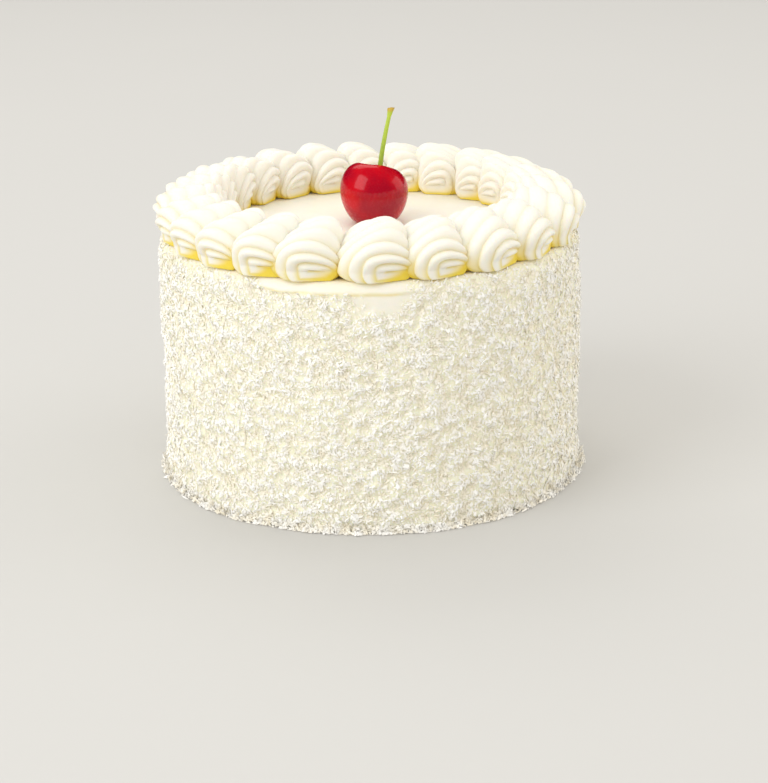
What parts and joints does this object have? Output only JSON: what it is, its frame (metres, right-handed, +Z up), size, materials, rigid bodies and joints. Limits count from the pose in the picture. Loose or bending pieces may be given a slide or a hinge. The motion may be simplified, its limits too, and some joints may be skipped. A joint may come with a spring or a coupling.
{
  "type": "coconut cake",
  "caption": "Tall round white cake with a cream coat, desiccated coconut on its side, a border of piped cream shells and one red cherry with its stem.",
  "frame": {"origin": "middle of the cake's flat underside", "axes": "+Z up along the cake's own axis, -Y towards the front seen in the picture, +X to the right in it"},
  "size_m": [0.1694, 0.1698, 0.1391],
  "materials": {
    "coconut": "white coconut shreds on cream, rough and matt",
    "cream": "ivory whipped cream, soft satin",
    "cherry_skin": "deep red glossy skin",
    "stalk": "yellow-green, satin"
  },
  "bodies": {
    "root": {"cake": "coconut", "shell_01": "cream", "shell_02": "cream", "shell_03": "cream", "shell_04": "cream", "shell_05": "cream", "shell_06": "cream", "shell_07": "cream", "shell_08": "cream", "shell_09": "cream", "shell_10": "cream", "shell_11": "cream", "shell_12": "cream", "shell_13": "cream", "shell_14": "cream", "shell_15": "cream", "shell_16": "cream", "shell_17": "cream", "shell_18": "cream", "shell_19": "cream", "shell_20": "cream", "shell_21": "cream", "shell_22": "cream", "shell_23": "cream", "cherry": "cherry_skin", "cherry_stem": "stalk"}
  },
  "joints": []
}
